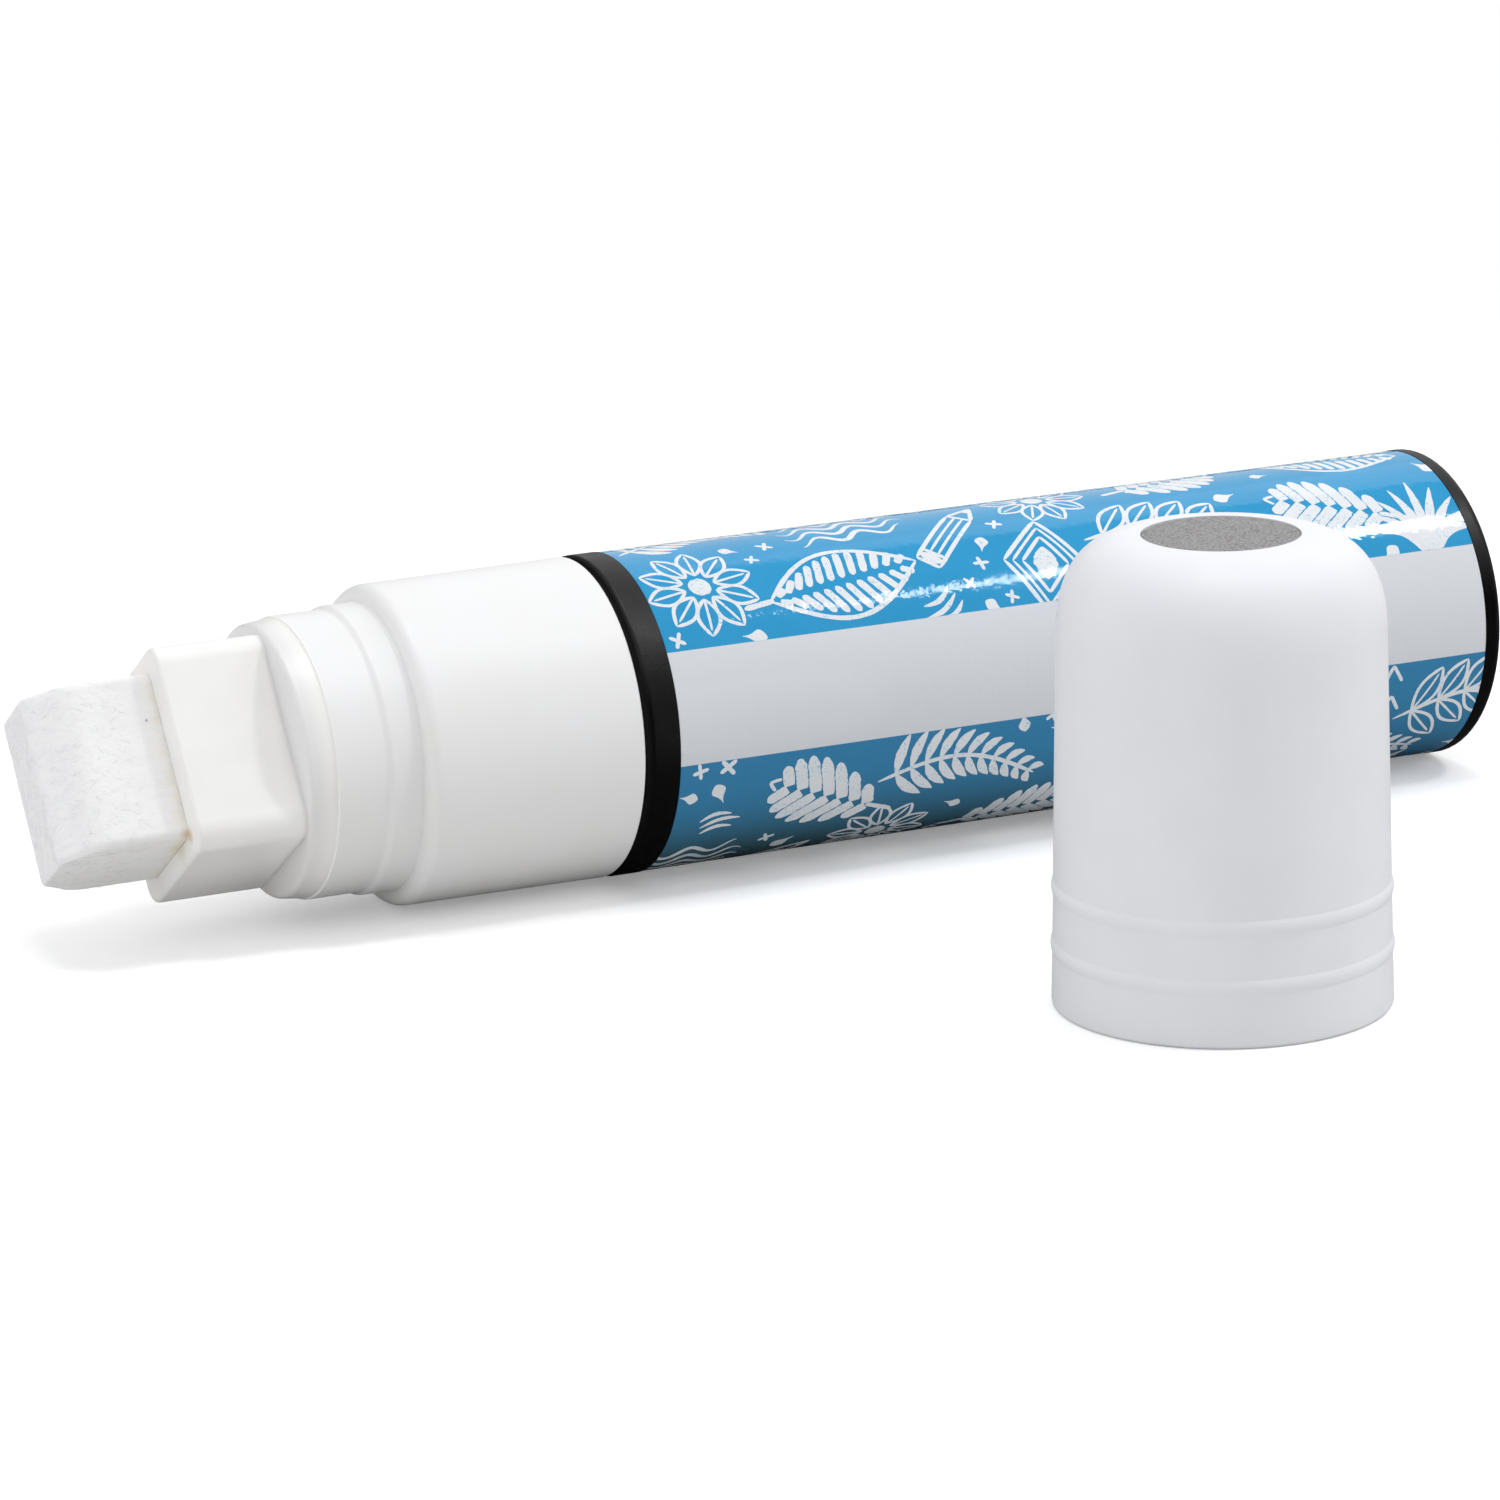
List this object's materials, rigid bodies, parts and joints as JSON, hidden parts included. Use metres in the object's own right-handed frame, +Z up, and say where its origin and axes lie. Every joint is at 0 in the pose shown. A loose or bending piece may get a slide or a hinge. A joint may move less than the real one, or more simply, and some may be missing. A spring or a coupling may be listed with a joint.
{
  "type": "liquid chalk marker",
  "caption": "Thick liquid chalk marker lying beside its standing cap: broad felt nib on a sprung pump valve, white grip, black barrel with a printed blue film.",
  "frame": {"origin": "on the table, at the middle of the footprint of the lying marker and its standing cap", "axes": "+Z up, +X along the marker's axis from the nib to the foot, cap on the -Y side"},
  "size_m": [0.1394, 0.0906, 0.0398],
  "materials": {
    "black_plastic": "satin black polypropylene",
    "printed_film": "gloss film, blue with a white band and white line drawing",
    "white_plastic": "semi-gloss white polypropylene",
    "cap_plastic": "satin white polypropylene",
    "felt": "pressed polyester felt, white",
    "grey_plastic": "matt grey, finely speckled",
    "natural_plastic": "natural polypropylene",
    "seal_rubber": "soft rubber",
    "spring_steel": "drawn stainless wire",
    "ball_steel": "polished steel"
  },
  "bodies": {
    "marker": {"barrel": "black_plastic", "label": "printed_film", "grip_section": "white_plastic", "nib_holder": "white_plastic", "valve_body": "natural_plastic", "barrel_seal": "seal_rubber", "spring_retainer": "natural_plastic", "valve_spring": "spring_steel"},
    "nib_unit": {"nib": "felt", "valve_plunger": "natural_plastic", "valve_gasket": "seal_rubber"},
    "ball": {"mixing_ball": "ball_steel"},
    "cap": {"cap_shell": "cap_plastic", "cap_seal": "seal_rubber", "cap_plug": "grey_plastic"}
  },
  "joints": [
    {"name": "nib_press", "type": "slide", "parent": "marker", "child": "nib_unit", "axis": [1, 0, 0], "range_m": [0, 0.0025], "stiffness_N_per_m": 900, "springref_m": -0.004, "deforming": ["valve_spring"]},
    {"name": "ball_roll", "type": "slide", "parent": "marker", "child": "ball", "axis": [1, 0, 0], "range_m": [-0.0367, 0.0367]},
    {"name": "cap_lift", "type": "slide", "parent": "marker", "child": "cap", "axis": [0, 0, 1], "range_m": [0, 0.06]}
  ]
}
